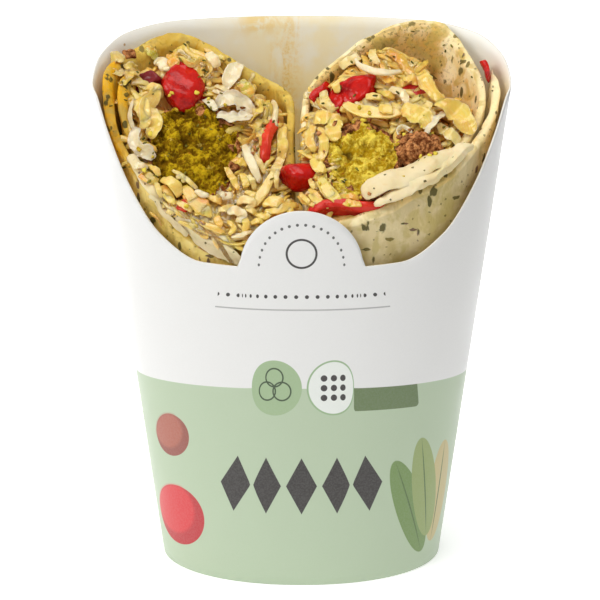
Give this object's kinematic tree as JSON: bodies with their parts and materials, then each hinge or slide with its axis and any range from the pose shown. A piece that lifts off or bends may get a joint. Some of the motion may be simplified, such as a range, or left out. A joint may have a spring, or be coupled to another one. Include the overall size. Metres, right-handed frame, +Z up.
{
  "type": "falafel wrap",
  "caption": "Cut tortilla roll filled with falafel and vegetables, its halves standing side by side in a tapered oval carton cup with a low front and a high back.",
  "frame": {"origin": "bottom centre of the whole part, on the surface that the carton stands on", "axes": "+Z up, +X to the viewer's right across the two halves, +Y from the low front to the high back panel"},
  "size_m": [0.1142, 0.062, 0.1518],
  "materials": {
    "carton_board": "white printed board with a pale green lower band, satin",
    "tortilla_bread": "soft flat bread with herb flecks, matte",
    "falafel": "crumbly olive green inside with a browned crust, matte",
    "filling": "moist shredded cabbage and grated cheese in sauce, satin",
    "red_vegetable": "moist chopped red pepper and tomato, glossy"
  },
  "bodies": {
    "root": {"carton": "carton_board", "tortilla_left": "tortilla_bread", "tortilla_right": "tortilla_bread", "falafel_left": "falafel", "falafel_right": "falafel", "falafel_piece": "falafel", "filling_left": "filling", "filling_right": "filling", "tomato_left": "red_vegetable", "pepper_left_dark": "red_vegetable", "pepper_strip_left": "red_vegetable", "pepper_bit_left": "red_vegetable", "tomato_front": "red_vegetable", "pepper_right_back": "red_vegetable", "pepper_right_low": "red_vegetable", "pepper_right_small": "red_vegetable", "pepper_bit_right": "red_vegetable", "pepper_sliver_right": "red_vegetable", "pepper_front_right": "red_vegetable"}
  },
  "joints": []
}
